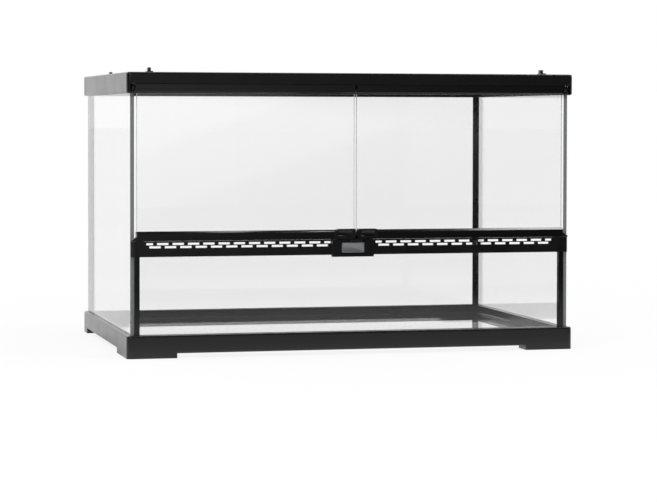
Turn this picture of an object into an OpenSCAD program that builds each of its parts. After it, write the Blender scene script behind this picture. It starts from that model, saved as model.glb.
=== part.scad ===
// Front-opening glass terrarium: moulded base and top frames, glass panes, two hinged glass doors
// over a slotted vent strip, a centre lock and a lift-out screen lid held by four turn clips.
// Millimetres. The origin is the middle of the footprint at table level, the front faces -Y.

/* [Overall size] */
// Width of the moulded frames, left to right
tank_width = 600; // [450:10:900]
// Depth of the moulded frames, front to back
tank_depth = 400; // [300:10:600]
// Height from the table to the top of the top frame
tank_height = 366.5; // [300:0.5:600]
// Radius of the frames' upright corners
corner_r = 6; // [3:0.5:6]
// Rounding of the frames' outer horizontal edges
edge_r = 2.5; // [1:0.5:2.5]

/* [Glass] */
// Thickness of the fixed panes and of the floor
glass_t = 5; // [4:0.5:6]
// Thickness of the door panes
door_glass_t = 4; // [3:0.5:5]
// How far the frames stand out past the side and rear glass
glass_overhang = 5.5; // [4.5:0.5:6]
// How far the side panes' front edges lie behind the frames' front face
front_setback = 8; // [8:0.5:10]

/* [Base frame] */
// Height of the base moulding above its feet
base_height = 23.5; // [18:0.5:40]
// Height of the corner feet
foot_height = 6; // [5:0.5:15]
// Thickness of the upstand on the inner side of the glass
base_inner_wall = 5.3; // [3:0.1:8]
// Width of the ledge that carries the floor glass
floor_ledge = 11; // [8:0.5:20]
// Thickness of that ledge
ledge_t = 2; // [1.5:0.5:4]
// Height of the floor glass above the underside of the base moulding
floor_lift = 6.8; // [4:0.1:10]
// Thickness of plastic under the upright panes
pane_seat = 4; // [3:0.5:8]
// Length of each foot along the front and the rear
foot_length = 65; // [40:1:100]
// Length of the front feet along the sides
front_foot_side = 85; // [40:1:110]
// Length of the rear feet along the sides
rear_foot_side = 34; // [30:1:60]

/* [Top frame] */
// Height of the top moulding
top_height = 27.5; // [25:0.5:40]
// Width of the flat rim round the screen lid
rim_width = 22.5; // [22:0.5:30]
// Width of the ledge under the lid
lid_ledge = 7.5; // [5:0.5:12]
// Depth of the lid's seat below the rim
lid_seat = 9; // [8:0.5:12]
// How far the panes reach up into the top frame
pane_grip = 14; // [8:0.5:14]
// Thickness of the skirt inside the glass
skirt_t = 2.8; // [2:0.1:4]

/* [Vent strip and lower pane] */
// Height of the lower pane that shows between the base and the vent strip
lower_window = 100.5; // [60:0.5:150]
// Height of the vent strip
strip_height = 20; // [18:0.5:30]
// Thickness of its slotted front wall
strip_wall = 3; // [2:0.1:4]
// Length of a vent slot
slot_length = 15; // [8:0.5:17]
// Distance from one slot to the next in a row
slot_pitch = 20; // [18:0.5:30]
// Height of a vent slot
slot_height = 2.8; // [2:0.1:4]
// Bar of plastic between the two rows of slots
slot_web = 1.2; // [0.8:0.1:2]
// Distance of the rows' middle from the tank's middle
slot_offset = -2; // [-4:0.5:4]
// Width of the black channel on each end of the lower pane
channel_w = 6.9; // [5:0.1:10]

/* [Doors] */
// Height of the moulded rail on the top and bottom edge of a door
rail_height = 12.2; // [11:0.1:13]
// Front to back depth of a door rail
rail_depth = 11.1; // [10.5:0.1:11.3]
// Gap between the two doors where they meet
door_gap = 2.4; // [1.5:0.1:5]
// How far the meeting line lies to the right of the middle
meet_offset = 2; // [-5:0.5:5]
// Radius of a hinge pin
pin_r = 1.5; // [1:0.1:1.8]
// Radius of a door's hinge knuckle
knuckle_r = 3.6; // [3:0.1:3.6]
// Width of a door pull
pull_width = 26; // [20:0.5:40]

/* [Lock] */
// Width of the lock housing
lock_width = 56; // [50:1:80]
// How far the housing and the pulls stand out past the frames
lock_proud = 3.5; // [3:0.5:6]
// Distance of the lock's middle from the tank's middle
lock_offset = -3.5; // [-6:0.5:6]
// Width of the sliding button and its face plate
button_width = 30.5; // [24:0.5:32]
// Height of the sliding button
button_height = 13.4; // [10:0.1:14]
// Travel of the button and bolt
bolt_travel = 3; // [2:0.1:3]

/* [Screen lid] */
// Width of the lid's border
lid_border = 16; // [14:0.5:25]
// Width of the bar across the middle of the lid
lid_bar = 16; // [8:1:40]
// Thickness of a screen panel
screen_t = 1; // [0.8:0.1:2]

/* [Turn clips] */
// Distance of each clip from the two outer faces at its corner
clip_inset = 34; // [30:0.5:34]
// Reach of a clip's tongue from its pin
clip_reach = 13.5; // [12:0.5:16]
// Height of a clip's finger grip above its tongue
clip_grip = 4.6; // [3:0.1:8]

/* [Cable inlets] */
// Length of a cable inlet in the rear rim
inlet_length = 40; // [25:1:60]
// Width of a cable inlet
inlet_width = 5; // [4:0.1:5]
// Distance of the inlet's middle from the frame's end
inlet_from_end = 80; // [70:1:120]

/* [Hidden] */
$fn = 48;

black = "#1c1d1f";
clear = [0.88, 0.94, 0.93, 0.35];
steel = "#b9bcc0";

// Clearances
fit = 0.2;            // pane in its groove, lid in its seat
bond = 0.05;          // bonded or pushed-together faces
run_gap = 0.06;       // pin turning in its bore
press_gap = 0.02;     // pin pushed into its knuckle
door_play = 0.5;      // above a door
rail_gap = 0.2;       // between a lower rail and the vent strip
past = 1;             // how far a cut runs past a face

half_w = tank_width / 2;
half_d = tank_depth / 2;

// Side panes, measured from the middle
pane_out = half_w - glass_overhang;
pane_in = pane_out - glass_t;

// Heights
base_top = foot_height + base_height;
floor_z = foot_height + floor_lift;
ledge_z = floor_z - ledge_t;
floor_top = floor_z + glass_t;
seat_z = foot_height + pane_seat;
top_z = tank_height - top_height;
pane_top = top_z + pane_grip;
strip_z = base_top + lower_window;
strip_top = strip_z + strip_height;

// Depths, measured back from the frames' front face
front_groove = front_setback - fit;
front_groove_back = front_setback + glass_t + fit;
rear_pane_back = tank_depth - glass_overhang;
rear_pane_front = rear_pane_back - glass_t;
wall_in = glass_overhang + glass_t + fit;       // inner side of the side and rear grooves
floor_inset = wall_in + base_inner_wall;        // floor glass recess at the sides and rear
floor_front = front_groove_back + base_inner_wall;
well_inset = floor_inset + floor_ledge;         // open middle of the base
well_front = floor_front + floor_ledge;

// Door rails
rail_front = 1.5;
rail_back = rail_front + rail_depth;
rail_end = pane_in - 2.5;
low_rail_z = strip_top + rail_gap;
low_rail_top = low_rail_z + rail_height;
high_rail_z = top_z + fit;
high_rail_top = high_rail_z + rail_height;
pocket_top = high_rail_top + door_play;
door_glass_u = 6;                               // front face of the door glass
glass_bite = 7.8;                               // how far a rail grips the door glass
glass_slack = 0.2;                              // space past the glass edge in a rail
rail_chamfer = 2.4;                             // front corner on the glass side
rail_chamfer_back = 1.2;

// Hinge line
axis_x = pane_out + 0.1 - knuckle_r;
axis_u = front_setback - 0.4 - knuckle_r;
post_in = half_w - 4;                           // inner face of the frames' front corner posts
block_out = axis_x + pin_r + 0.8;               // outer face of a hinge block
arm_root = 0.3;                                 // knuckle arm's hold in the rail's end
lug_slope = 5;                                  // drop of the lower knuckle's sloping top
low_pin_up = 4.4;
low_pin_down = 9.4;
high_pin_down = 6;
high_pin_up = 8;

// Vent strip
strip_front = 1.2;
strip_back = 16;
strip_body = 8.5;                               // height of the part that grips the lower pane
pane_bite = 6;                                  // how far the lower pane reaches into the strip
strip_end = rail_end + 0.4;                     // in front of the side panes' edges
strip_inner_end = pane_in - 0.3;                // between the side panes
end_block = 10.4;                               // plain length at each end
slot_clear = 2.1;                               // plastic above the upper slots
slots_from = lock_width / 2 + 2;
slots_to = strip_end - 14.6;
slots_mid = (slots_from + slots_to) / 2;
slot_count = floor((slots_to - slots_from) / slot_pitch);
tab_front = rail_back + 0.4;                    // door stops behind the lower rails
tab_top = low_rail_z + 6.5;

// Magnets, seen from a door's inner end
magnet_r = 3;
magnet_t = 1.8;
magnet_x = 14;
magnet_z = low_rail_z + 6;
strike_t = 0.6;
strike_w = 12;
strike_h = 8;

// Lock
lock_front = -lock_proud;
lock_drop = 2.5;                                // how far the housing hangs below the strip
lock_top = strip_top + 0.2;
lock_lip = 1.6;                                 // front wall of the housing
lock_roof = 0.8;                                // its top wall, which stops the button
window_half = button_width / 2 + 1.3;
flange_half = button_width / 2 + 4.15;
cavity_half = flange_half + 0.6;
button_z = lock_top - lock_roof - fit - bolt_travel - button_height;
button_back = -1.7;
flange_back = -1.0;
plate_t = 0.5;
bolt_back = 0.2;
bolt_half = 9;
bolt_x = meet_offset - lock_offset;              // bolt's middle, from the lock's
bolt_top = lock_top + 0.3;
screw_x = lock_width / 2 - 3.7;
screw_z = strip_z + 13.5;
screw_r = 1.2;
screw_head_r = 2.4;
mount_back = strip_front + strip_wall + 3.3;    // rear of the block behind the lock
pull_z = strip_top + 0.8;
pull_top = low_rail_top + 1.4;

// Lid
seat_floor = tank_height - lid_seat;
ledge_under = 3;
lid_gap = 0.5;
lid_inset = rim_width + lid_gap;
lid_bottom = seat_floor + 0.1;
lid_top = tank_height - 0.3;
open_inset = lid_inset + lid_border;            // outer edge of the screen openings
pad = clip_inset + 9.5 - rim_width;             // corner pad that carries a clip
notch = pad + lid_gap;
gusset = 13;                                    // fills the openings' outer corners
screen_z = lid_top - 4.7;
screen_grip = 1.8;
open_below = rim_width + lid_ledge;
skirt_in = wall_in + skirt_t;
front_skirt = tab_front + 3;
trough_w = 7;
trough_top = tank_height - 5.5;

// Clips
clip_z = tank_height + 0.2;
tongue_t = 1.5;
tongue_half = 4;
clip_hub_r = 4.5;
clip_pin_r = 2.4;
clip_pin_l = 8;
grip_t = 4.2;
grip_l = 11;

// Cable inlets and shutters
inlet_x = half_w - inlet_from_end;
shutter_half = inlet_length / 2 + 3;
shutter_travel = inlet_length + 4;
track_z = tank_height - 2.1;
track_half = inlet_width / 2 + 1.5;
track_step = 0.8;                               // lip that holds the shutter down
inlet_u = max(tank_depth - skirt_in - 0.5 - inlet_width / 2,
    tank_depth - rim_width + 1.2 + track_step + track_half);

// A block between two corners: u is measured back from the frames' front face.
module plate(x0, x1, u0, u1, z0, z1) {
    translate([x0, u0 - half_d, z0]) cube([x1 - x0, u1 - u0, z1 - z0]);
}

// An upright round bar at a place given by x and u.
module post(x, u, z0, z1, r) {
    translate([x, u - half_d, z0]) cylinder(h = z1 - z0, r = r);
}

// A round bar along the front to back direction.
module rod(x, z, u0, u1, r) {
    translate([x, u1 - half_d, z]) rotate([90, 0, 0]) cylinder(h = u1 - u0, r = r);
}

// What is drawn for the right-hand side, on the side asked for: 1 right, -1 left.
module on_side(side) {
    if (side > 0) children();
    else mirror([1, 0, 0]) children();
}

module both_sides() {
    on_side(1) children();
    on_side(-1) children();
}

module rounded_slab(z0, z1) {
    translate([0, 0, z0]) linear_extrude(z1 - z0) {
        square([tank_width - 2 * corner_r, tank_depth], center = true);
        square([tank_width, tank_depth - 2 * corner_r], center = true);
        for (sx = [-1, 1], sy = [-1, 1])
            translate([sx * (half_w - corner_r), sy * (half_d - corner_r)]) circle(r = corner_r);
    }
}

// Section of a frame with its four outer edges rounded
module round_profile(width, z0, z1) {
    translate([-width / 2, z0 + edge_r]) square([width, z1 - z0 - 2 * edge_r]);
    translate([-width / 2 + edge_r, z0]) square([width - 2 * edge_r, z1 - z0]);
    for (sx = [-1, 1], z = [z0 + edge_r, z1 - edge_r])
        translate([sx * (width / 2 - edge_r), z]) circle(r = edge_r);
}

// The rounded slab with its upper and lower edges rounded as well
module soft_slab(z0, z1, turn) {
    translate([-half_w + corner_r, 0, 0]) rotate([90, 0, 90])
        linear_extrude(tank_width - 2 * corner_r) round_profile(tank_depth, z0, z1);
    translate([0, half_d - corner_r, 0]) rotate([90, 0, 0])
        linear_extrude(tank_depth - 2 * corner_r) round_profile(tank_width, z0, z1);
    // the same section turned round each corner: a full turn where feet join it, else a quarter
    for (c = [[1, 1, 0], [-1, 1, 90], [-1, -1, 180], [1, -1, 270]])
        translate([c[0] * (half_w - corner_r), c[1] * (half_d - corner_r), 0])
            rotate([0, 0, turn < 360 ? c[2] : 0]) rotate_extrude(angle = turn)
                intersection() {
                    round_profile(2 * corner_r, z0, z1);
                    translate([0, z0]) square([corner_r, z1 - z0]);
                }
}

// ---- Base ----

// Each foot is an L that follows the base's corner and reaches up to the ledge.
module feet() {
    difference() {
        rounded_slab(0, ledge_z);
        plate(-half_w + foot_length, half_w - foot_length, -past, tank_depth + past,
            -past, ledge_z + past);
        plate(-half_w - past, half_w + past, front_foot_side, tank_depth - rear_foot_side,
            -past, ledge_z + past);
    }
}

module floor_recess(z0, z1) {
    plate(-half_w + floor_inset, half_w - floor_inset, floor_front, tank_depth - floor_inset,
        z0, z1);
}

module base_frame() {
    color(black) difference() {
        union() {
            difference() {
                soft_slab(foot_height, base_top, 360);
                floor_recess(foot_height - past, ledge_z);
            }
            feet();
        }
        plate(-half_w + well_inset, half_w - well_inset, well_front, tank_depth - well_inset,
            -past, base_top);
        floor_recess(floor_z, base_top + past);
        difference() {
            plate(-pane_out - fit, pane_out + fit, front_groove, rear_pane_back + fit,
                seat_z, base_top + past);
            plate(-half_w + wall_in, half_w - wall_in, front_groove_back,
                tank_depth - wall_in, seat_z - past, base_top + 2 * past);
        }
    }
}

module floor_glass() {
    color(clear)
        plate(-half_w + floor_inset + fit, half_w - floor_inset - fit, floor_front + fit,
            tank_depth - floor_inset - fit, floor_z, floor_top);
}

// Silicone bead round the floor glass, against the base's upstand.
module floor_seal() {
    seal_w = 2.5;
    color(black) difference() {
        plate(-half_w + floor_inset + bond, half_w - floor_inset - bond, floor_front + bond,
            tank_depth - floor_inset - bond, floor_top, floor_top + seal_w);
        plate(-half_w + floor_inset + seal_w, half_w - floor_inset - seal_w,
            floor_front + seal_w, tank_depth - floor_inset - seal_w,
            floor_top - past, floor_top + seal_w + past);
    }
}

// ---- Fixed panes ----

module side_glass(side) {
    color(clear) on_side(side)
        plate(pane_in, pane_out, front_setback, rear_pane_back, seat_z, pane_top);
}

module rear_glass() {
    color(clear)
        plate(-pane_in + fit, pane_in - fit, rear_pane_front, rear_pane_back, seat_z, pane_top);
}

module lower_front_glass() {
    end = pane_in - 2.7;
    color(clear)
        plate(-end, end, front_setback, front_setback + glass_t, seat_z, strip_z + pane_bite);
}

// Silicone bead in the upright rear corner, from the base to the top frame.
module rear_seal(side) {
    leg = 7.5;
    tip = 0.8;
    color(black) on_side(side)
        translate([pane_in - bond, rear_pane_front - bond - half_d, base_top + bond])
            linear_extrude(top_z - base_top - 2 * bond)
                polygon([[0, 0], [-leg, 0], [-leg, -tip], [-tip, -leg], [0, -leg]]);
}

// Moulded U channel on the end of the lower pane, open towards the middle.
module pane_channel(side) {
    leg_t = 1.4;
    outer = pane_in - 0.1;
    color(black) on_side(side) difference() {
        plate(outer - channel_w, outer, front_setback - 0.1 - leg_t,
            front_setback + glass_t + 0.1 + leg_t, base_top + bond, strip_z - fit);
        plate(outer - channel_w - past, pane_in - 2.6, front_setback - 0.1,
            front_setback + glass_t + 0.1, base_top - past, strip_z + past);
    }
}

// ---- Top frame ----

// Opening through the top frame above z, as far in from the outer faces as inset, less the pads.
module lid_opening(inset, z) {
    difference() {
        plate(-half_w + inset, half_w - inset, inset, tank_depth - inset, z,
            tank_height + past);
        for (sx = [-1, 1], sy = [-1, 1])
            translate([sx * (half_w - rim_width), sy * (half_d - rim_width), tank_height])
                cube([2 * pad, 2 * pad, 4 * top_height], center = true);
    }
}

module inlet_cut() {
    plate(inlet_x - inlet_length / 2, inlet_x + inlet_length / 2, inlet_u - inlet_width / 2,
        inlet_u + inlet_width / 2, top_z, tank_height + past);
    run_from = inlet_x - shutter_half - shutter_travel - fit;
    run_to = inlet_x + shutter_half + fit;
    plate(run_from, run_to, inlet_u - track_half, inlet_u + track_half, track_z,
        tank_height + past);
    plate(run_from, run_to, inlet_u - track_half - track_step, inlet_u + track_half + track_step,
        track_z, track_z + 1);
}

module top_frame() {
    color(black) difference() {
        soft_slab(top_z, tank_height, 90);
        lid_opening(open_below, top_z - past);
        lid_opening(rim_width, seat_floor);
        // hollow under the lid ledge, then the trough between skirt and lid seat
        plate(-half_w + skirt_in, half_w - skirt_in, front_skirt, tank_depth - skirt_in,
            top_z - past, seat_floor - ledge_under);
        difference() {
            plate(-half_w + skirt_in, half_w - skirt_in, front_skirt, tank_depth - skirt_in,
                top_z - past, trough_top);
            plate(-half_w + skirt_in + trough_w, half_w - skirt_in - trough_w,
                rim_width - skirt_t, tank_depth - skirt_in - trough_w,
                top_z - 2 * past, trough_top + past);
        }
        // grooves for the panes
        both_sides()
            plate(pane_in - fit, pane_out + fit, front_groove, rear_pane_back + fit,
                top_z - past, pane_top + fit);
        plate(-pane_out, pane_out, rear_pane_front - fit, rear_pane_back + fit,
            top_z - past, pane_top + fit);
        // pocket for the doors' upper rails, open to the front
        plate(-post_in, post_in, -past, tab_front, top_z - past, pocket_top);
        both_sides() {
            post(axis_x, axis_u, pocket_top - past, pocket_top + high_pin_up + 0.5,
                pin_r + run_gap);
            inlet_cut();
        }
        for (sx = [-1, 1], sy = [-1, 1])
            translate([sx * (half_w - clip_inset), sy * (half_d - clip_inset),
                    clip_z - clip_pin_l - 0.3])
                cylinder(h = clip_pin_l + past, r = clip_pin_r + run_gap);
    }
}

// ---- Vent strip ----

// One row of slots on the right half; shift 0 starts with a whole slot, 0.5 with a short one.
module slot_row(z, count, shift) {
    for (i = [0 : count - 1]) {
        middle = slots_mid + (i - (count - 1) / 2) * slot_pitch;
        from = max(slots_from, middle - slot_length / 2);
        to = min(slots_to, middle + slot_length / 2);
        if (to - from > slot_height)
            plate(from, to, strip_front - past, strip_front + strip_wall + past,
                z, z + slot_height);
    }
}

module strip_body_shape() {
    wall_back = strip_front + strip_wall;
    split = front_setback + 0.1;                // the strip widens behind the side panes' edges
    plate(-strip_end, strip_end, strip_front, wall_back, strip_z, strip_top);
    plate(-strip_end, strip_end, wall_back, split, strip_z, strip_z + strip_body);
    plate(-strip_inner_end, strip_inner_end, split, strip_back, strip_z, strip_z + strip_body);
    plate(lock_offset - lock_width / 2, lock_offset + lock_width / 2, wall_back, mount_back,
        strip_z + strip_body, strip_top);
    both_sides() {
        plate(strip_end - end_block, strip_end, wall_back, split, strip_z, strip_top);
        plate(strip_end - end_block, strip_inner_end, split, strip_back, strip_z, strip_top);
        plate(strip_end - end_block + 1, strip_end - 1.4, tab_front, strip_back,
            strip_top, tab_top);
    }
    stop_half = door_gap / 2 + magnet_x + strike_w / 2 + 1;
    plate(meet_offset - stop_half, meet_offset + stop_half, tab_front + strike_t,
        strip_back, strip_z + strip_body, magnet_z + strike_h / 2);
}

module tenon(extra) {
    plate(strip_end - 6 - extra, strip_end + 0.1, 2.8 - extra, 5.8 + extra,
        strip_z + strip_height / 2 - 3 - extra, strip_z + strip_height / 2 + 3 + extra);
}

module vent_strip() {
    upper_z = strip_top - slot_clear - slot_height;
    color(black) difference() {
        strip_body_shape();
        plate(-strip_inner_end - past, strip_inner_end + past, front_groove, front_groove_back,
            strip_z - past, strip_z + pane_bite + fit);
        translate([slot_offset, 0, 0]) both_sides() {
            slot_row(upper_z, slot_count + 1, 0.5);
            slot_row(upper_z - slot_web - slot_height, slot_count, 0);
        }
        both_sides() tenon(0.1);
        for (side = [-1, 1])
            rod(lock_offset + side * screw_x, screw_z, strip_front - past, mount_back + past,
                screw_r + 0.1);
    }
}

module strike_plates() {
    color(steel) for (side = [-1, 1]) {
        middle = meet_offset + side * (door_gap / 2 + magnet_x);
        plate(middle - strike_w / 2, middle + strike_w / 2, tab_front, tab_front + strike_t,
            magnet_z - strike_h / 2, magnet_z + strike_h / 2);
    }
}

// Block in front of the side pane's edge, keyed into the strip, with the lower hinge bore.
module hinge_block(side) {
    front = 0.8;
    flange = 6;                                 // the part beyond it reaches the pane's outer face
    back = front_setback - 0.2;
    bevel = 1.8;
    color(black) on_side(side) difference() {
        union() {
            translate([0, -half_d, strip_z]) linear_extrude(strip_height) polygon([
                [strip_end + 0.1, front], [block_out - bevel, front],
                [block_out, front + bevel], [block_out, flange], [pane_out, flange],
                [pane_out, back], [strip_end + 0.1, back]
            ]);
            tenon(0);
        }
        post(axis_x, axis_u, strip_top - low_pin_down - 0.4, strip_top + past,
            pin_r + run_gap);
    }
}

// ---- Doors ----

// Inner end of a door on the right-hand side of its own mirror image
function door_in(side) = side * meet_offset + door_gap / 2;

// Rail section with the glass slot opening upwards from z = 0
module rail_section() {
    slot_from = door_glass_u - 0.1;
    slot_to = door_glass_u + door_glass_t + 0.1;
    slot_floor = rail_height - glass_bite;
    polygon([
        [rail_front, 0], [rail_back, 0], [rail_back, rail_height - rail_chamfer_back],
        [rail_back - rail_chamfer_back, rail_height], [slot_to, rail_height],
        [slot_to, slot_floor],
        [slot_from, slot_floor], [slot_from, rail_height],
        [rail_front + rail_chamfer, rail_height], [rail_front, rail_height - rail_chamfer]
    ]);
}

module rail_bar(side, z) {
    translate([door_in(side), -half_d, z]) rotate([90, 0, 90])
        linear_extrude(rail_end - door_in(side)) rail_section();
}

// Knuckle round the hinge line, with the arm that joins it to the rail's end
module knuckle(z0, z1) {
    post(axis_x, axis_u, z0, z1, knuckle_r);
    plate(rail_end - arm_root, axis_x, rail_front, axis_u + knuckle_r - 0.1, z0, z1);
}

module bottom_rail(side) {
    color(black) on_side(side) difference() {
        union() {
            rail_bar(side, low_rail_z);
            difference() {
                knuckle(low_rail_z, low_rail_z + lug_slope + 0.5);
                translate([rail_end, -half_d - past, low_rail_z + lug_slope + 0.5])
                    rotate([0, atan(lug_slope / (pane_out - rail_end)), 0])
                        cube([4 * knuckle_r, tank_depth / 4, 4 * lug_slope]);
            }
        }
        post(axis_x, axis_u, low_rail_z - past, low_rail_z + low_pin_up, pin_r + press_gap);
        rod(door_in(side) + magnet_x, magnet_z, rail_back - magnet_t - 0.1, rail_back + past,
            magnet_r + 0.1);
    }
}

module top_rail(side) {
    color(black) on_side(side) difference() {
        union() {
            translate([0, 0, high_rail_z + high_rail_top]) mirror([0, 0, 1])
                rail_bar(side, high_rail_z);
            knuckle(high_rail_z + 0.5, high_rail_top);
        }
        post(axis_x, axis_u, high_rail_top - high_pin_down, high_rail_top + past,
            pin_r + press_gap);
    }
}

module door_glass(side) {
    color(clear) on_side(side)
        plate(door_in(side), rail_end - 0.5, door_glass_u, door_glass_u + door_glass_t,
            low_rail_z + rail_height - glass_bite + glass_slack,
            high_rail_z + glass_bite - glass_slack);
}

module lower_pin(side) {
    color(steel) on_side(side)
        post(axis_x, axis_u, strip_top - low_pin_down, low_rail_z + low_pin_up - 0.1, pin_r);
}

module upper_pin(side) {
    color(steel) on_side(side)
        post(axis_x, axis_u, high_rail_top - high_pin_down + 0.1, pocket_top + high_pin_up, pin_r);
}

module door_magnet(side) {
    color(steel) on_side(side)
        rod(door_in(side) + magnet_x, magnet_z, rail_back - magnet_t - 0.05, rail_back - 0.05,
            magnet_r);
}

// Pull on the inner end of a lower rail, with a finger scoop and a notch for the lock's bolt
module pull(side) {
    inner = door_in(side) + 1;
    outer = inner + pull_width;
    scoop_r = 5;
    scoop_depth = 1.4;
    bevel = 3;
    color(black) on_side(side) difference() {
        union() {
            plate(inner, outer, lock_front, rail_front, pull_z, pull_top);
            plate(inner, outer, rail_front, door_glass_u - 0.2, low_rail_top, pull_top);
        }
        translate([inner + 4, lock_front - scoop_r + scoop_depth - half_d,
                (pull_z + pull_top) / 2 + 0.8])
            rotate([0, 90, 0]) cylinder(h = pull_width - 8, r = scoop_r);
        translate([outer, lock_front - past - half_d, pull_top - bevel / 2])
            rotate([0, -atan(2), 0]) translate([0, 0, -bevel])
                cube([bevel, 10 + lock_proud, 3 * bevel]);
        plate(inner - past, side * meet_offset + bolt_half + 0.6, flange_back - 0.3,
            bolt_back + 0.3, pull_z - past, bolt_top + bolt_travel + 0.5);
    }
}

// ---- Lock ----

module lock_housing() {
    bottom = strip_z - lock_drop;
    translate([lock_offset, 0, 0]) color(black) difference() {
        union() {
            plate(-lock_width / 2, lock_width / 2, lock_front, strip_front, bottom, lock_top);
            plate(-lock_width / 2 + 1, lock_width / 2 - 1, strip_front, front_setback - 2,
                bottom, strip_z - bond);
        }
        plate(-window_half, window_half, lock_front - past, lock_front + lock_lip + past,
            button_z - 1.4, lock_top - lock_roof);
        plate(-cavity_half, cavity_half, lock_front + lock_lip, strip_front + past,
            button_z - 2.4, lock_top - lock_roof);
        plate(bolt_x - bolt_half - fit, bolt_x + bolt_half + fit, flange_back - fit,
            bolt_back + fit, button_z, lock_top + past);
        for (side = [-1, 1])
            rod(side * screw_x, screw_z, lock_front + 1.6, strip_front + past, screw_r + 0.05);
    }
}

module lock_slider() {
    translate([lock_offset, 0, 0]) color(black) {
        plate(-flange_half, flange_half, button_back, flange_back, button_z - 1,
            button_z + button_height);
        plate(-button_width / 2, button_width / 2, lock_front + plate_t + 0.1, button_back,
            button_z, button_z + button_height);
    }
}

module lock_plate() {
    edge = 0.2;
    translate([lock_offset, 0, 0]) color(steel)
        plate(-button_width / 2 + edge, button_width / 2 - edge, lock_front + 0.1,
            lock_front + plate_t + 0.1, button_z + edge, button_z + button_height - edge);
}

module lock_bolt() {
    color(steel)
        plate(meet_offset - bolt_half, meet_offset + bolt_half, flange_back, bolt_back,
            button_z + 4, bolt_top);
}

module lock_screws() {
    head_t = 1.6;
    color(steel) for (side = [-1, 1]) {
        rod(lock_offset + side * screw_x, screw_z, lock_front + 1.9, mount_back, screw_r);
        rod(lock_offset + side * screw_x, screw_z, mount_back, mount_back + head_t, screw_head_r);
    }
}

// ---- Screen lid ----

// Outline of one screen opening, grown by the given amount into the frame round it
module screen_outline(grow) {
    x_out = half_w - open_inset + grow;
    y_out = half_d - open_inset + grow;
    corner = gusset;
    difference() {
        translate([lid_bar / 2 - grow, -y_out]) square([x_out - lid_bar / 2 + grow, 2 * y_out]);
        for (sy = [-1, 1])
            translate([x_out - (corner - past) / 2, sy * (y_out - (corner - past) / 2)])
                square(corner + past, center = true);
    }
}

module lid_frame() {
    color(black) difference() {
        plate(-half_w + lid_inset, half_w - lid_inset, lid_inset, tank_depth - lid_inset,
            lid_bottom, lid_top);
        for (sx = [-1, 1], sy = [-1, 1])
            translate([sx * (half_w - rim_width), sy * (half_d - rim_width), lid_top])
                cube([2 * notch, 2 * notch, 4 * lid_seat], center = true);
        both_sides() {
            translate([0, 0, lid_bottom - past])
                linear_extrude(lid_top - lid_bottom + 2 * past) screen_outline(0);
            translate([0, 0, screen_z - 0.1])
                linear_extrude(screen_t + 0.2) screen_outline(screen_grip + 0.2);
        }
    }
}

module screen(side) {
    color("#4a4c4e") on_side(side)
        translate([0, 0, screen_z]) linear_extrude(screen_t) screen_outline(screen_grip);
}

// ---- Turn clips ----

// A clip at the origin with its tongue along -Y, its pin below
module turn_clip() {
    translate([0, 0, -clip_pin_l]) cylinder(h = clip_pin_l, r = clip_pin_r);
    linear_extrude(tongue_t) {
        circle(r = clip_hub_r);
        translate([-tongue_half, -clip_reach + tongue_half])
            square([2 * tongue_half, clip_reach - tongue_half]);
        translate([0, -clip_reach + tongue_half]) circle(r = tongue_half);
    }
    translate([0, 0, tongue_t]) linear_extrude(clip_grip) {
        square([grip_t, grip_l - grip_t], center = true);
        for (end = [-1, 1]) translate([0, end * (grip_l - grip_t) / 2]) circle(d = grip_t);
    }
}

// sx and sy choose the corner: -1 is left or front.
module corner_clip(sx, sy) {
    color(black) translate([sx * (half_w - clip_inset), sy * (half_d - clip_inset), clip_z])
        rotate(sy > 0 ? 180 : 0) turn_clip();
}

// ---- Cable inlet shutters ----

module cable_shutter(side) {
    shutter_z = track_z + 0.1;
    color(black) on_side(side) {
        plate(inlet_x - shutter_half, inlet_x + shutter_half,
            inlet_u - track_half - track_step + fit, inlet_u + track_half + track_step - fit,
            shutter_z, shutter_z + 0.7);
        plate(inlet_x - shutter_half, inlet_x + shutter_half, inlet_u - track_half + fit,
            inlet_u + track_half - fit, shutter_z + 0.7, tank_height - 0.2);
        for (rib = [-1 : 1])
            plate(inlet_x + rib * 3 - 0.7, inlet_x + rib * 3 + 0.7, inlet_u - track_half + 1,
                inlet_u + track_half - 1, tank_height - 0.2, tank_height + 1.2);
    }
}

base_frame();
floor_glass();
floor_seal();
side_glass(-1);  // left_glass
side_glass(1);  // right_glass
rear_glass();
lower_front_glass();
rear_seal(-1);  // rear_left_seal
rear_seal(1);  // rear_right_seal
pane_channel(-1);  // left_pane_channel
pane_channel(1);  // right_pane_channel
top_frame();
vent_strip();
hinge_block(-1);  // left_hinge_block
hinge_block(1);  // right_hinge_block
strike_plates();
lock_housing();
lock_screws();
lock_slider();
lock_plate();
lock_bolt();
door_glass(-1);  // left_door_glass
top_rail(-1);  // left_top_rail
bottom_rail(-1);  // left_bottom_rail
pull(-1);  // left_pull
upper_pin(-1);  // left_upper_pin
lower_pin(-1);  // left_lower_pin
door_magnet(-1);  // left_door_magnet
door_glass(1);  // right_door_glass
top_rail(1);  // right_top_rail
bottom_rail(1);  // right_bottom_rail
pull(1);  // right_pull
upper_pin(1);  // right_upper_pin
lower_pin(1);  // right_lower_pin
door_magnet(1);  // right_door_magnet
lid_frame();
screen(-1);  // left_screen
screen(1);  // right_screen
corner_clip(-1, -1);  // front_left_clip
corner_clip(1, -1);  // front_right_clip
corner_clip(-1, 1);  // rear_left_clip
corner_clip(1, 1);  // rear_right_clip
cable_shutter(-1);  // left_cable_shutter
cable_shutter(1);  // right_cable_shutter
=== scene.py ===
import math
import bpy
import bmesh
from mathutils import Matrix, Vector, noise


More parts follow.
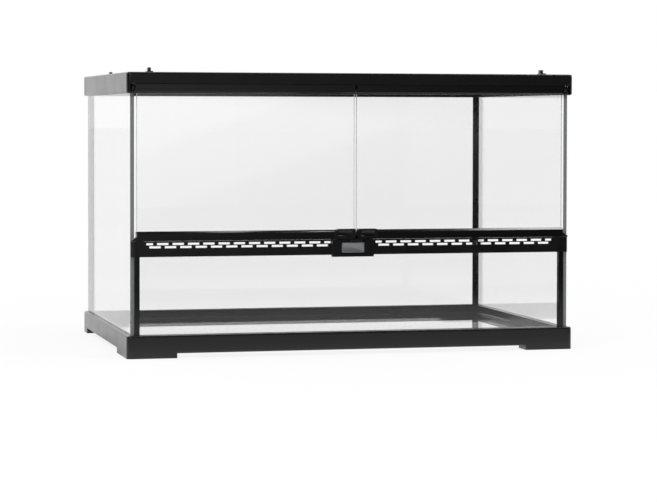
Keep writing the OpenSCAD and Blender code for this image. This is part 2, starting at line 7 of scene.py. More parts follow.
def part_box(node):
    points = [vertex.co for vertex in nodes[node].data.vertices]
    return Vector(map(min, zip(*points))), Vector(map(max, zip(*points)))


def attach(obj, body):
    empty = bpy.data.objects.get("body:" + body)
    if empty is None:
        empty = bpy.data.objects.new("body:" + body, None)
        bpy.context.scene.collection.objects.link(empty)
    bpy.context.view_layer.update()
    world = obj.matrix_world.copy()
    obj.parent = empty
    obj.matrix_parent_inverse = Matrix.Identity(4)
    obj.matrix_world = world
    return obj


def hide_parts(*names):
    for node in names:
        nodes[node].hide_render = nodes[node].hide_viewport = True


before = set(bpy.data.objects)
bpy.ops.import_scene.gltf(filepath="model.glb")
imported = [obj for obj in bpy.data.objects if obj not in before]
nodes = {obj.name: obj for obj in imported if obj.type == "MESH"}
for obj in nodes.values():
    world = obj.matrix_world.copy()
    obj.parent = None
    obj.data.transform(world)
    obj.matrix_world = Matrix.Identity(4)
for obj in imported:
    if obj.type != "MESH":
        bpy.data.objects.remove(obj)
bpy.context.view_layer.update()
scene = bpy.context.scene
print("tank loaded:", len(nodes), "pieces")


# small helpers

def linear(hexColour):  # sRGB hex to the linear colour a shader wants
    parts = [int(hexColour[i:i + 2], 16) / 255 for i in (1, 3, 5)]
    return tuple(c / 12.92 if c <= 0.04045 else ((c + 0.055) / 1.055) ** 2.4 for c in parts) + (1.0,)


def addNode(tree, kind, links=None, values=None, **settings):
    node = tree.nodes.new(kind)
    for name, value in settings.items():
        setattr(node, name, value)
    for key, value in (values or {}).items():
        node.inputs[key].default_value = value
    for key, socket in (links or {}).items():
        tree.links.new(socket, node.inputs[key])
    return node


def blankMaterial(name):
    material = bpy.data.materials.new(name)
    material.use_nodes = True
    material.node_tree.nodes.clear()
    return material, material.node_tree


def newPiece(name, mesh, body, standsFor=()):
    piece = bpy.data.objects.new(name, mesh)
    scene.collection.objects.link(piece)
    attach(piece, body)
    if standsFor:
        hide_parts(*standsFor)
    return piece


def meshFrom(bm, name, materials, smooth=False):
    mesh = bpy.data.meshes.new(name)
    bmesh.ops.recalc_face_normals(bm, faces=bm.faces)
    bm.to_mesh(mesh)
    bm.free()
    for material in materials:
        mesh.materials.append(material)
    if smooth:
        mesh.shade_smooth()
    return mesh


# camera

lens = {
    "place": (-0.757247, -3.11825, 0.309303),  # metres
    "yaw": 13.8856, "pitch": -1.5, "roll": 0.10112,  # degrees
    "focal": 126.801, "sensor": 36.0,  # mm
    "shiftY": -0.111671,
}


def makeCamera():
    data = bpy.data.cameras.new("camera")
    data.lens, data.sensor_width, data.shift_y = lens["focal"], lens["sensor"], lens["shiftY"]
    data.clip_start, data.clip_end = 0.05, 200
    yaw, pitch, roll = (math.radians(lens[k]) for k in ("yaw", "pitch", "roll"))
    ahead = Vector((math.sin(yaw), math.cos(yaw), 0))
    aside = Vector((math.cos(yaw), -math.sin(yaw), 0))
    up = Vector((0, 0, 1))
    look = ahead * math.cos(pitch) + up * math.sin(pitch)
    rise = up * math.cos(pitch) - ahead * math.sin(pitch)
    right = aside * math.cos(roll) + rise * math.sin(roll)
    top = rise * math.cos(roll) - aside * math.sin(roll)
    camera = bpy.data.objects.new("camera", data)
    scene.collection.objects.link(camera)
    turn = Matrix((right, top, -look)).transposed().to_4x4()
    camera.matrix_world = Matrix.Translation(lens["place"]) @ turn
    scene.camera = camera


makeCamera()
print("camera placed")


# studio: white all round, a dark side behind the camera for the gloss, soft lamps

studio = {
    "fill": 0.65,  # the room's light on the object
    "darkSide": 0.015, "brightSide": 1.0,  # what gloss sees in front of the tank and behind it
    "roomTurn": (-0.2, 0.8),  # where the way's Y takes it from one to the other
    # a white panel up to the left that the doors catch; its edges lie in Z plus the slant times X
    "panel": 0.83, "panelSteps": 0.4,  # its level, and the share of it that comes in two sharp steps
    "softEdge": (-0.112, -0.046), "softSlant": -0.28,
    "stepEdges": (-0.105, -0.078), "stepWidth": 0.004, "stepSlant": -0.37,
    "brim": (0.026, 0.042), "brimSlant": 0.12, "overBrim": 0.1,  # its upper edge, and what is left over it
    "panelEnd": (0.3, 0.36), "pastEnd": 0.5,  # its right end, and what is left past it
    "facing": (-0.9, -0.6),  # it stands in front of the doors only
    # the floor as it is seen: its glow near the tank and far off, and the metres between
    "floorSeen": (0.865, 0.92), "seenSpan": (0.4, 4.0), "floorPaint": "#606060",
    # the floor in gloss: a strip before the tank, darker beyond it, white behind, and a painted shadow of the
    # tank under it
    "floorNear": 0.55, "floorFar": 0.03, "floorBack": 0.92, "floorPaintedShadow": 0.25,
    "nearFrom": (-1.2, -0.7), "backFrom": (-0.34, -0.24), "shadowSpanX": (0.24, 0.36), "shadowSpanY": (0.1, 0.19),
    "floorBounce": 0.4,  # what scattered light finds there
    "floorRadius": 60.0, "floorFront": -1.7,  # metres; the front edge lets the doors mirror the room
}
lamps = {  # place, target, size in metres, watts
    "keyLamp": ((-1.7, -2.3, 2.5), (0, 0, 0.15), (1.8, 1.3), 40),
    "sideLamp": ((2.6, -1.5, 1.9), (0, 0, 0.15), (1.4, 1.4), 24),
    "topLamp": ((0.1, -0.34, 3.0), (0.1, -0.34, 0), (1.0, 0.5), 8),
    "endLamp": ((1.27, -0.34, 3.0), (1.27, -0.34, 0), (0.4, 0.5), 7),
    "rearLamp": ((-1.2, 2.9, 2.0), (0, 0, 0.2), (1.8, 1.2), 24),
}


def rayKinds(tree):
    # 1 where a thing is seen in gloss, and 1 where scattered light meets it
    path = addNode(tree, "ShaderNodeLightPath").outputs
    return [addNode(tree, "ShaderNodeMath", {0: path[depth]}, {1: 0.5}, operation="GREATER_THAN").outputs[0]
            for depth in ("Glossy Depth", "Diffuse Depth")]


def makeWorld():
    world = bpy.data.worlds.new("studioRoom")
    scene.world = world
    world.use_nodes = True
    tree = world.node_tree
    tree.nodes.clear()
    way = addNode(tree, "ShaderNodeSeparateXYZ",
                  {0: addNode(tree, "ShaderNodeTexCoord").outputs["Generated"]}).outputs
    # from the dark side in front of the doors round to the white sweep behind
    turn = studio["roomTurn"]
    room = addNode(tree, "ShaderNodeMapRange", {0: way["Y"]},
                   {1: turn[0], 2: turn[1], 3: studio["darkSide"], 4: studio["brightSide"]},
                   interpolation_type="SMOOTHSTEP")
    # the panel's edges lean, so their reflections cross the doors at a slant
    soft, lean, brim = (addNode(tree, "ShaderNodeMath", {0: way["X"], 2: way["Z"]}, {1: studio[slant]},
                                operation="MULTIPLY_ADD").outputs[0]
                        for slant in ("softSlant", "stepSlant", "brimSlant"))
    rises = [(soft, studio["softEdge"], studio["panel"] * (1 - studio["panelSteps"]))]
    for start in studio["stepEdges"]:
        rises.append((lean, (start, start + studio["stepWidth"]), studio["panel"] * studio["panelSteps"] / 2))
    panel = None
    for edge, span, level in rises:
        rise = addNode(tree, "ShaderNodeMapRange", {0: edge}, {1: span[0], 2: span[1], 3: 0, 4: level})
        panel = rise if panel is None else addNode(
            tree, "ShaderNodeMath", {0: rise.outputs[0], 1: panel.outputs[0]}, operation="ADD")
    # its upper edge comes down to the right, its end is fainter, and it stands only before the doors
    for edge, span, rest, kind in ((brim, studio["brim"], studio["overBrim"], "SMOOTHSTEP"),
                                   (way["X"], studio["panelEnd"], studio["pastEnd"], "LINEAR"),
                                   (way["Y"], studio["facing"], 0, "LINEAR")):
        share = addNode(tree, "ShaderNodeMapRange", {0: edge}, {1: span[0], 2: span[1], 3: 1, 4: rest},
                        interpolation_type=kind)
        panel = addNode(tree, "ShaderNodeMath", {0: panel.outputs[0], 1: share.outputs[0]},
                        operation="MULTIPLY")
    seen = addNode(tree, "ShaderNodeMath", {0: panel.outputs[0], 1: room.outputs[0]}, operation="ADD")
    # white where it is seen or looked at through glass, the room in gloss, the fill for light
    mirrored, scattered = rayKinds(tree)
    shown = addNode(tree, "ShaderNodeMix", {0: mirrored, 3: seen.outputs[0]}, {2: 1.0})
    level = addNode(tree, "ShaderNodeMix", {0: scattered, 2: shown.outputs[0]}, {3: studio["fill"]})
    light = addNode(tree, "ShaderNodeBackground", {1: level.outputs[0]}, {0: (1, 1, 1, 1)})
    addNode(tree, "ShaderNodeOutputWorld", {0: light.outputs[0]})


def makeFloor():
    bm = bmesh.new()
    bmesh.ops.create_circle(bm, cap_ends=True, radius=studio["floorRadius"], segments=96)
    bmesh.ops.bisect_plane(bm, geom=bm.verts[:] + bm.edges[:] + bm.faces[:],
                           plane_co=(0, studio["floorFront"], 0), plane_no=(0, -1, 0), clear_outer=True)
    material, tree = blankMaterial("whitePaperSweep")  # matt paper: white, with the soft shadow left on it
    spot = addNode(tree, "ShaderNodeTexCoord").outputs["Object"]
    place = addNode(tree, "ShaderNodeSeparateXYZ", {0: spot}).outputs
    (n0, n1), (b0, b1) = studio["nearFrom"], studio["backFrom"]
    near = addNode(tree, "ShaderNodeMapRange", {0: place["Y"]},
                   {1: n0, 2: n1, 3: studio["floorFar"], 4: studio["floorNear"]},
                   interpolation_type="SMOOTHSTEP")
    gloss = addNode(tree, "ShaderNodeMapRange", {0: place["Y"], 3: near.outputs[0]},
                    {1: b0, 2: b1, 4: studio["floorBack"]}, interpolation_type="SMOOTHSTEP")
    # how far inside the tank's outline: there the floor's glow in gloss is lowered, a painted shadow of the
    # tank
    parts = []
    for axis, span in (("X", studio["shadowSpanX"]), ("Y", studio["shadowSpanY"])):
        off = addNode(tree, "ShaderNodeMath", {0: place[axis]}, operation="ABSOLUTE")
        parts.append(addNode(tree, "ShaderNodeMapRange", {0: off.outputs[0]},
                             {1: span[0], 2: span[1], 3: 1, 4: 0}, interpolation_type="SMOOTHSTEP"))
    shadowMask = addNode(tree, "ShaderNodeMath", {i: part.outputs[0] for i, part in enumerate(parts)},
                     operation="MULTIPLY")
    # inside the outline the gloss glow drops to the painted shadow's level
    gloss = addNode(tree, "ShaderNodeMix", {0: shadowMask.outputs[0], 2: gloss.outputs[0]},
                    {3: studio["floorPaintedShadow"]})
    away = addNode(tree, "ShaderNodeVectorMath", {0: spot}, operation="LENGTH")
    (s0, s1), (glow0, glow1) = studio["seenSpan"], studio["floorSeen"]
    seen = addNode(tree, "ShaderNodeMapRange", {0: away.outputs["Value"]}, {1: s0, 2: s1, 3: glow0, 4: glow1},
                   interpolation_type="SMOOTHSTEP")
    mirrored, scattered = rayKinds(tree)
    level = addNode(tree, "ShaderNodeMix", {0: scattered, 2: seen.outputs[0]}, {3: studio["floorBounce"]})
    glow = addNode(tree, "ShaderNodeEmission", {1: level.outputs[0]}, {0: (1, 1, 1, 1)})
    paper = addNode(tree, "ShaderNodeBsdfDiffuse", None, {0: linear(studio["floorPaint"])})
    lit = addNode(tree, "ShaderNodeAddShader", {0: glow.outputs[0], 1: paper.outputs[0]})
    mirror = addNode(tree, "ShaderNodeEmission", {1: gloss.outputs[0]}, {0: (1, 1, 1, 1)})
    both = addNode(tree, "ShaderNodeMixShader", {0: mirrored, 1: lit.outputs[0], 2: mirror.outputs[0]})
    addNode(tree, "ShaderNodeOutputMaterial", {0: both.outputs[0]})
    floor = bpy.data.objects.new("floor", meshFrom(bm, "floor", [material]))
    scene.collection.objects.link(floor)
    floor.location.z = -0.0001  # just under the feet, so that no faces coincide


def makeLamps():
    for name, (place, target, size, watts) in lamps.items():
        data = bpy.data.lights.new(name, "AREA")
        data.shape, data.size, data.size_y, data.energy = "RECTANGLE", size[0], size[1], watts
        lamp = bpy.data.objects.new(name, data)
        scene.collection.objects.link(lamp)
        lamp.location = place
        lamp.rotation_euler = (Vector(target) - Vector(place)).to_track_quat("-Z", "Y").to_euler()
        lamp.visible_camera = False
        lamp.visible_transmission = False


makeWorld()
makeFloor()
makeLamps()
scene.view_settings.view_transform = "Standard"
print("studio lit:", len(lamps), "lamps")


# how most of the materials are put together

noiseSpan = (0.3, 0.7)  # fractal noise mostly stays between these


def makeSkin(tree, look, pattern, relief, toneBy=None, values=None):
    # one pattern drives the tone and the roughness, a relief (or none) the normal
    tone = addNode(tree, "ShaderNodeMix", {0: toneBy or pattern},
                   {6: linear(look["low"]), 7: linear(look["high"])}, data_type="RGBA")
    rough = addNode(tree, "ShaderNodeMapRange", {0: pattern},
                    {1: noiseSpan[0], 2: noiseSpan[1], 3: look["rough"][0], 4: look["rough"][1]})
    links = {"Base Color": tone.outputs[2], "Roughness": rough.outputs[0]}
    if relief:
        height, strength = relief
        links["Normal"] = addNode(tree, "ShaderNodeBump", {"Height": height},
                                  {"Strength": strength, "Distance": look["depthMm"] / 1000}).outputs[0]
    skin = addNode(tree, "ShaderNodeBsdfPrincipled", links, values or {"IOR": look["ior"]})
    addNode(tree, "ShaderNodeOutputMaterial", {0: skin.outputs[0]})


# plastics

mouldedLooks = {
    # spark-eroded tool texture: a satin black that takes broad soft highlights
    "frame": {"low": "#060607", "high": "#0c0c0e", "flowMm": 45, "grainMm": 1.1, "depthMm": 0.008,
              "rough": (0.20, 0.26), "ior": 1.54},
    # the same resin from a finer tool: the small parts and the strip look a little glossier and deeper
    "trim": {"low": "#050506", "high": "#0a0a0b", "flowMm": 25, "grainMm": 0.8, "depthMm": 0.006,
             "rough": (0.16, 0.23), "ior": 1.54},
}
drawnLook = {"low": "#060607", "high": "#0c0c0e", "lineMm": 0.9, "depthMm": 0.004, "drawn": (0.004, 1, 1),
             "rough": (0.10, 0.16), "ior": 1.54}


def mouldedAbs(name, look):
    # injection moulded ABS: fine even grain, tone drifting a little where the melt ran
    material, tree = blankMaterial(name)
    place = addNode(tree, "ShaderNodeTexCoord").outputs["Object"]
    flow = addNode(tree, "ShaderNodeTexNoise", {"Vector": place},
                   {"Scale": 1000 / look["flowMm"], "Detail": 3.0, "Distortion": 0.6})
    # real grain is about 0.2 mm; it is drawn coarser, so that a pixel can hold it
    grain = addNode(tree, "ShaderNodeTexNoise", {"Vector": place},
                    {"Scale": 1000 / look["grainMm"], "Detail": 2.0, "Roughness": 0.6})
    makeSkin(tree, look, flow.outputs[0], (grain.outputs[0], 0.6))
    return material


def drawnPvc(name, look):
    # extruded PVC profile: glossy, with faint die lines along its length
    material, tree = blankMaterial(name)
    place = addNode(tree, "ShaderNodeTexCoord").outputs["Object"]
    along = addNode(tree, "ShaderNodeMapping", {"Vector": place}, {"Scale": look["drawn"]})
    lines = addNode(tree, "ShaderNodeTexNoise", {"Vector": along.outputs[0]},
                    {"Scale": 1000 / look["lineMm"], "Detail": 2.0})
    makeSkin(tree, look, lines.outputs[0], (lines.outputs[0], 0.5))
    return material


# metals, silicone and wire

metalLooks = {
    # bare aluminium, satin: short brush marks along the plate
    "satinAluminium": {"high": "#a8a9ab", "low": "#8e9093", "rough": (0.34, 0.48),
                       "stretch": (0.05, 1, 1), "mm": 0.7, "depthMm": 0.004},
    # bright zinc plate: pale, faintly blue, slightly cloudy
    "zincPlate": {"high": "#c3c8cd", "low": "#a7adb4", "rough": (0.24, 0.38),
                  "stretch": (1, 1, 1), "mm": 3.0, "depthMm": 0.001},
    # the zinc plate made dark: painted shade for the lock bolt, which sits in the lock's recess
    "zincPaintedShade": {"high": "#4a4b4d", "low": "#333436", "rough": (0.3, 0.42),
                  "stretch": (1, 1, 1), "mm": 3.0, "depthMm": 0.001},
    # nickel: warmer and smoother than zinc
    "nickelPlate": {"high": "#c4bfb4", "low": "#b3ada1", "rough": (0.12, 0.22),
                    "stretch": (1, 1, 1), "mm": 2.0, "depthMm": 0.0005},
}
siliconeLook = {"low": "#0a0a0b", "high": "#161617", "rough": (0.16, 0.28), "waveMm": 9, "depthMm": 0.05,
                "ior": 1.41}
wireLook = {"low": "#121213", "high": "#2a2a2b", "rough": (0.34, 0.5), "patchMm": 14, "worn": (0.45, 0.75),
            "ior": 1.5}


def platedMetal(name, look):
    # brushed or clouded metal: marks drawn out along one way, or none
    material, tree = blankMaterial(name)
    place = addNode(tree, "ShaderNodeTexCoord").outputs["Object"]
    along = addNode(tree, "ShaderNodeMapping", {"Vector": place}, {"Scale": look["stretch"]})
    marks = addNode(tree, "ShaderNodeTexNoise", {"Vector": along.outputs[0]},
                    {"Scale": 1000 / look["mm"], "Detail": 3.0, "Roughness": 0.6})
    makeSkin(tree, look, marks.outputs[0], (marks.outputs[0], 0.5), values={"Metallic": 1.0})
    return material


def siliconeSealant(name, look):
    # acetoxy silicone: wet-looking black, its surface drawn out by the finger that tooled it
    material, tree = blankMaterial(name)
    place = addNode(tree, "ShaderNodeTexCoord").outputs["Object"]
    wave = addNode(tree, "ShaderNodeTexNoise", {"Vector": place},
                   {"Scale": 1000 / look["waveMm"], "Detail": 2.0})
    makeSkin(tree, look, wave.outputs[0], (wave.outputs[0], 0.5))
    return material


def coatedWire(name, look):
    # powder-coated steel wire: matt black, rubbed a little paler in scattered patches
    material, tree = blankMaterial(name)
    place = addNode(tree, "ShaderNodeTexCoord").outputs["Object"]
    patch = addNode(tree, "ShaderNodeTexNoise", {"Vector": place},
                    {"Scale": 1000 / look["patchMm"], "Detail": 4.0})
    worn = addNode(tree, "ShaderNodeMapRange", {0: patch.outputs[0]},
                   {1: look["worn"][0], 2: look["worn"][1]})
    makeSkin(tree, look, patch.outputs[0], None, toneBy=worn.outputs[0])
    return material


# glass

glassLook = {
    "face": "#fcfcfc", "ior": 1.52,
    "passes": "#f0f1f0",  # what lamps and scattered light keep on their way through
    "waveMm": 120, "waveDepthMm": 0.0008,
    # the doors' paler edge colour is a painted highlight
    "edge": "#8f9291", "doorEdgeHighlight": "#d2d6d5", "edgeRough": (0.22, 0.34), "edgePasses": 0.35,
    "gritMm": 1.2, "gritDepthMm": 0.02,
}


def floatGlass(name, look):
    # float glass: flat and clear, its faces mirror only at a low angle; lamps shine through it
    material, tree = blankMaterial(name)
    place = addNode(tree, "ShaderNodeTexCoord").outputs["Object"]
    wave = addNode(tree, "ShaderNodeTexNoise", {"Vector": place},
                   {"Scale": 1000 / look["waveMm"], "Detail": 1.0})
    bump = addNode(tree, "ShaderNodeBump", {"Height": wave.outputs[0]},
                   {"Strength": 0.5, "Distance": look["waveDepthMm"] / 1000})
    pane = addNode(tree, "ShaderNodeBsdfPrincipled", {"Normal": bump.outputs[0]},
                   {"Base Color": linear(look["face"]), "Roughness": 0.0, "IOR": look["ior"],
                    "Transmission Weight": 1.0})
    path = addNode(tree, "ShaderNodeLightPath").outputs
    light = addNode(tree, "ShaderNodeMath", {0: path["Is Shadow Ray"], 1: path["Is Diffuse Ray"]},
                    operation="MAXIMUM")
    clear = addNode(tree, "ShaderNodeBsdfTransparent", None, {0: linear(look["passes"])})
    both = addNode(tree, "ShaderNodeMixShader",
                   {0: light.outputs[0], 1: pane.outputs[0], 2: clear.outputs[0]})
    addNode(tree, "ShaderNodeOutputMaterial", {0: both.outputs[0]})
    return material


def groundEdge(name, look, colour):
    # the seamed edge of the sheet: ground fine, so it is cloudy and shows the glass's own grey-green
    material, tree = blankMaterial(name)
    place = addNode(tree, "ShaderNodeTexCoord").outputs["Object"]
    grit = addNode(tree, "ShaderNodeTexNoise", {"Vector": place},
                   {"Scale": 1000 / look["gritMm"], "Detail": 2.0})
    bump = addNode(tree, "ShaderNodeBump", {"Height": grit.outputs[0]},
                   {"Strength": 0.4, "Distance": look["gritDepthMm"] / 1000})
    rough = addNode(tree, "ShaderNodeMapRange", {0: grit.outputs[0]},
                    {1: noiseSpan[0], 2: noiseSpan[1], 3: look["edgeRough"][0], 4: look["edgeRough"][1]})
    edge = addNode(tree, "ShaderNodeBsdfPrincipled",
                   {"Normal": bump.outputs[0], "Roughness": rough.outputs[0]},
                   {"Base Color": linear(look[colour]), "IOR": look["ior"],
                    "Transmission Weight": look["edgePasses"]})
    addNode(tree, "ShaderNodeOutputMaterial", {0: edge.outputs[0]})
    return material


frameAbs = mouldedAbs("mouldedAbsFrame", mouldedLooks["frame"])
trimAbs = mouldedAbs("mouldedAbsTrim", mouldedLooks["trim"])
railPvc = drawnPvc("extrudedPvcRail", drawnLook)
satinAluminium = platedMetal("satinAluminium", metalLooks["satinAluminium"])
zincPlate = platedMetal("zincPlatedSteel", metalLooks["zincPlate"])
zincPaintedShade = platedMetal("zincPlatedSteelPaintedShade", metalLooks["zincPaintedShade"])
nickelPlate = platedMetal("nickelPlate", metalLooks["nickelPlate"])
sealant = siliconeSealant("blackSilicone", siliconeLook)
screenWire = coatedWire("powderCoatedWire", wireLook)
paneGlass = floatGlass("floatGlass", glassLook)
paneEdge = groundEdge("groundGlassEdge", glassLook, "edge")
# the doors' edges take a paler colour than the panes' edges: a painted highlight, so their edge lines look
# lighter
doorEdgeHighlight = groundEdge("polishedGlassEdge", glassLook, "doorEdgeHighlight")
print("materials made")


# glass panes: slabs with their edges seamed to a small arris

panes = {  # new piece: CAD node, body, arris in mm
    "left_side_pane": ("left_glass", "tank", 0.5),
    "right_side_pane": ("right_glass", "tank", 0.5),
    "rear_pane": ("rear_glass", "tank", 0.5),
    "low_front_pane": ("lower_front_glass", "tank", 0.5),
    "floor_pane": ("floor_glass", "tank", 0.6),
    "left_door_pane": ("left_door_glass", "left_door", 0.6),
    "right_door_pane": ("right_door_glass", "right_door", 0.6),
}


def makePane(name, node, body, arris):
    low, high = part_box(node)
    bm = bmesh.new()
    bmesh.ops.create_cube(bm, size=1.0)
    size, middle = high - low, (low + high) / 2
    for v in bm.verts:
        v.co = Vector((v.co[i] * size[i] + middle[i] for i in range(3)))
    thin = min(range(3), key=lambda i: size[i])
    bmesh.ops.bevel(bm, geom=list(bm.edges), offset=arris / 1000, segments=1, profile=0.5, affect="EDGES")
    for face in bm.faces:  # the two large faces are clear, the rest is edge
        face.material_index = 0 if abs(face.normal[thin]) > 0.99 else 1
    # door panes get the paler edge, a painted highlight
    edge = doorEdgeHighlight if body.endswith("door") else paneEdge
    return newPiece(name, meshFrom(bm, name, [paneGlass, edge]), body, [node])


for name, (node, body, arris) in panes.items():
    makePane(name, node, body, arris)
print("panes cut:", len(panes))


sharpAngle = {"bead": 40, "plate": 50}  # degrees; a bend past this keeps a hard line


# silicone beads: a tooled hollow face, a little uneven along the run

# how soon the tooling finger drifts, and how much of its drift the leg and the hollow take
beadDrift = {"runMm": 25, "leg": 0.6, "hollow": 0.3}
beads = {  # mm; step is the length between two sections, arc the number of parts the face has
    "floor": {"leg": 2.5, "tip": 0.35, "hollow": 0.28, "wander": 0.18, "step": 6.0, "arc": 6},
    "corner": {"leg": 7.5, "tip": 0.4, "hollow": 1.5, "wander": 0.3, "step": 6.0, "arc": 9},
}


def beadSection(look, place):
    # from the corner out along one leg, over the hollow face and back along the other
    leg, tip = look["leg"], look["tip"]
    shift = look["wander"] * 0.5 * (1 + noise.noise(Vector(place) * (1000 / beadDrift["runMm"])))
    reach = leg - shift * beadDrift["leg"]
    points = [(0.0, 0.0), (reach, 0.0), (reach, tip)]
    for i in range(1, look["arc"]):
        t = i / look["arc"]
        a = reach + (tip - reach) * t
        b = tip + (reach - tip) * t
        pull = math.sin(math.pi * t) * (look["hollow"] + shift * beadDrift["hollow"])
        points.append((a - pull, b - pull))
    points += [(tip, reach), (0.0, reach)]
    return [(a / 1000, b / 1000) for a, b in points]


def sweepBead(name, look, stations, closed, body, node):
    # stations: where the bead's inner corner runs, and the two ways its legs point there
    bm = bmesh.new()
    rings = []
    for place, one, two in stations:
        rings.append([bm.verts.new(Vector(place) + one * a + two * b) for a, b in beadSection(look, place)])
    pairs = list(zip(rings, rings[1:] + rings[:1])) if closed else list(zip(rings, rings[1:]))
    for first, second in pairs:
        for i in range(len(first)):
            j = (i + 1) % len(first)
            bm.faces.new((first[i], first[j], second[j], second[i]))
    if not closed:
        bm.faces.new(rings[0])
        bm.faces.new(rings[-1])
    mesh = meshFrom(bm, name, [sealant], smooth=True)
    mesh.set_sharp_from_angle(angle=math.radians(sharpAngle["bead"]))
    return newPiece(name, mesh, body, [node])


def makeBeads():
    up = Vector((0, 0, 1))
    for side, word in ((-1, "left"), (1, "right")):
        node = "rear_%s_seal" % word
        low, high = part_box(node)
        x = low.x if side < 0 else high.x
        count = int((high.z - low.z) * 1000 / beads["corner"]["step"])
        inward, forward = Vector((-side, 0, 0)), Vector((0, -1, 0))
        stations = [((x, high.y, low.z + (high.z - low.z) * i / count), inward, forward)
                    for i in range(count + 1)]
        sweepBead("rear_%s_bead" % word, beads["corner"], stations, False, "tank", node)
    low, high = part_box("floor_seal")
    corners = [Vector((low.x, low.y, low.z)), Vector((high.x, low.y, low.z)),
               Vector((high.x, high.y, low.z)), Vector((low.x, high.y, low.z))]
    inward = [Vector((1, 1, 0)), Vector((-1, 1, 0)), Vector((-1, -1, 0)), Vector((1, -1, 0))]
    stations = []
    for i in range(4):
        start, end = corners[i], corners[(i + 1) % 4]
        run = end - start
        square = Vector((-run.y, run.x, 0)).normalized()
        count = int(run.length * 1000 / beads["floor"]["step"])
        stations.append((start, inward[i], up))
        for k in range(1, count):
            stations.append((start + run * k / count, square, up))
    sweepBead("floor_bead", beads["floor"], stations, True, "tank", "floor_seal")


makeBeads()
print("beads laid")


# woven screens of the lid

weave = {"pitchMm": 2.62, "wireMm": 0.46}


def makeScreen(name, node, body):
    low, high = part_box(node)
    pitch, radius = weave["pitchMm"] / 1000, weave["wireMm"] / 2000
    z = (low.z + high.z) / 2
    countX = int((high.x - low.x - 2 * radius) / pitch)
    countY = int((high.y - low.y - 2 * radius) / pitch)
    startX = (low.x + high.x - countX * pitch) / 2
    startY = (low.y + high.y - countY * pitch) / 2
    spots, quads = [], []

    def wire(start, step, count, phase):
        # one wire over and under the others, four-sided, a ring at each crossing
        aside = Vector((-step.y, step.x, 0)).normalized() * radius
        first = len(spots)
        for k in range(count + 1):
            middle = start + step * k + Vector((0, 0, radius if (k + phase) % 2 else -radius))
            spots.extend((middle + aside, middle + Vector((0, 0, radius)),
                          middle - aside, middle - Vector((0, 0, radius))))
        for k in range(count):
            for i in range(4):
                a, b = first + 4 * k + i, first + 4 * k + (i + 1) % 4
                quads.append((a, b, b + 4, a + 4))
        quads.append((first + 3, first + 2, first + 1, first))
        last = first + 4 * count
        quads.append((last, last + 1, last + 2, last + 3))

    for i in range(countX + 1):
        wire(Vector((startX + i * pitch, startY, z)), Vector((0, pitch, 0)), countY, i)
    for i in range(countY + 1):
        wire(Vector((startX, startY + i * pitch, z)), Vector((pitch, 0, 0)), countX, i + 1)
    mesh = bpy.data.meshes.new(name)
    mesh.from_pydata(spots, [], quads)
    mesh.materials.append(screenWire)
    mesh.shade_smooth()
    return newPiece(name, mesh, body, [node])


for side in ("left", "right"):
    piece = makeScreen(side + "_woven_screen", side + "_screen", "lid")
    print(piece.name, len(piece.data.polygons), "faces")


# bare plate on the lock button: rolled edge and a shallow sunk field where a label would sit

plateLook = {"cornerMm": 1.2, "leastMm": 0.3, "cornerSteps": 6, "rimMm": 1.1, "sunkMm": 0.12, "edgeMm": 0.12}


def makePlate():
    low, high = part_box("lock_plate")
    corner, rim = plateLook["cornerMm"] / 1000, plateLook["rimMm"] / 1000

    def outline(inset, y):
        ring = []
        r = max(corner - inset, plateLook["leastMm"] / 1000)
        x0, x1, z0, z1 = low.x + inset + r, high.x - inset - r, low.z + inset + r, high.z - inset - r
        for cx, cz, start in ((x1, z1, 0), (x0, z1, 90), (x0, z0, 180), (x1, z0, 270)):
            for k in range(plateLook["cornerSteps"] + 1):
                a = math.radians(start + 90 / plateLook["cornerSteps"] * k)
                ring.append((cx + r * math.cos(a), y, cz + r * math.sin(a)))
        return ring

    edge, sunk = plateLook["edgeMm"] / 1000, plateLook["sunkMm"] / 1000
    front = low.y
    # rings from the back edge over the rolled rim and down into the field: inset, then y
    levels = [(edge, high.y), (0, high.y - edge), (0, front + edge), (edge * 0.3, front + edge * 0.3),
              (edge, front), (rim, front), (rim + sunk * 0.5, front + sunk * 0.25),
              (rim + sunk * 1.5, front + sunk)]
    bm = bmesh.new()
    rings = [[bm.verts.new(p) for p in outline(inset, y)] for inset, y in levels]
    for first, second in zip(rings, rings[1:]):
        for i in range(len(first)):
            j = (i + 1) % len(first)
            bm.faces.new((first[i], first[j], second[j], second[i]))
    bm.faces.new(rings[0])
    bm.faces.new(rings[-1])
    mesh = meshFrom(bm, "bare_lock_plate", [satinAluminium], smooth=True)
    mesh.set_sharp_from_angle(angle=math.radians(sharpAngle["plate"]))
    return newPiece("bare_lock_plate", mesh, "lock", ["lock_plate"])


makePlate()
print("lock plate pressed")


# CAD pieces that stay: their finish, and the edge radius a moulding has, in mm

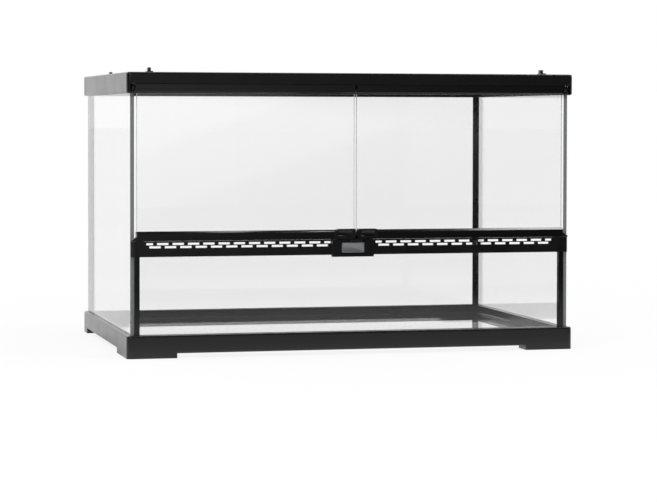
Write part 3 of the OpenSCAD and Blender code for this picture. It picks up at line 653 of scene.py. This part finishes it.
finishes = {
    "base_frame": (frameAbs, 0), "top_frame": (frameAbs, 0.3), "lid_frame": (frameAbs, 0.5),
    "vent_strip": (trimAbs, 0.15), "left_hinge_block": (trimAbs, 0.35), "right_hinge_block": (trimAbs, 0.35),
    "lock_housing": (trimAbs, 0.4), "lock_slider": (trimAbs, 0.3),
    "left_pull": (trimAbs, 0.3), "right_pull": (trimAbs, 0.3),
    "left_pane_channel": (railPvc, 0.25), "right_pane_channel": (railPvc, 0.25),
    "left_top_rail": (railPvc, 0.12), "right_top_rail": (railPvc, 0.12),
    "left_bottom_rail": (railPvc, 0.12), "right_bottom_rail": (railPvc, 0.12),
    "front_left_clip": (trimAbs, 0.25), "front_right_clip": (trimAbs, 0.25),
    "rear_left_clip": (trimAbs, 0.25), "rear_right_clip": (trimAbs, 0.25),
    "left_cable_shutter": (trimAbs, 0.3), "right_cable_shutter": (trimAbs, 0.3),
    # the bolt takes the dark zinc, painted shade of the recess it sits in
    "lock_bolt": (zincPaintedShade, 0.25), "lock_screws": (zincPlate, 0.15), "strike_plates": (zincPlate, 0.15),
    "left_upper_pin": (zincPlate, 0.2), "right_upper_pin": (zincPlate, 0.2),
    "left_lower_pin": (zincPlate, 0.2), "right_lower_pin": (zincPlate, 0.2),
    "left_door_magnet": (nickelPlate, 0.2), "right_door_magnet": (nickelPlate, 0.2),
}


# kept in triangles, so no hole closes over
manyHoles = ("base_frame", "top_frame", "vent_strip", "lock_housing")
edgeLook = {"weld": 1e-6, "flat": 0.01, "segments": 2, "sharpest": 38}  # metres, radians, count, degrees


def finishNode(name, material, radius):
    piece = nodes[name]
    if not piece.material_slots:
        piece.data.materials.append(material)
    for slot in piece.material_slots:
        slot.material = material
    join = piece.modifiers.new("join", "WELD")
    join.merge_threshold = edgeLook["weld"]
    if name not in manyHoles:
        flat = piece.modifiers.new("flat", "DECIMATE")
        flat.decimate_type, flat.angle_limit = "DISSOLVE", edgeLook["flat"]
    if not radius:  # the base's own shape has its rounded edges
        return
    bevel = piece.modifiers.new("edges", "BEVEL")
    bevel.width, bevel.segments = radius / 1000, edgeLook["segments"]
    bevel.limit_method, bevel.angle_limit = "ANGLE", math.radians(edgeLook["sharpest"])
    bevel.use_clamp_overlap = name.endswith("_pull")
    bevel.harden_normals = True


for name, (material, radius) in finishes.items():
    finishNode(name, material, radius)
print("CAD pieces finished:", len(finishes))
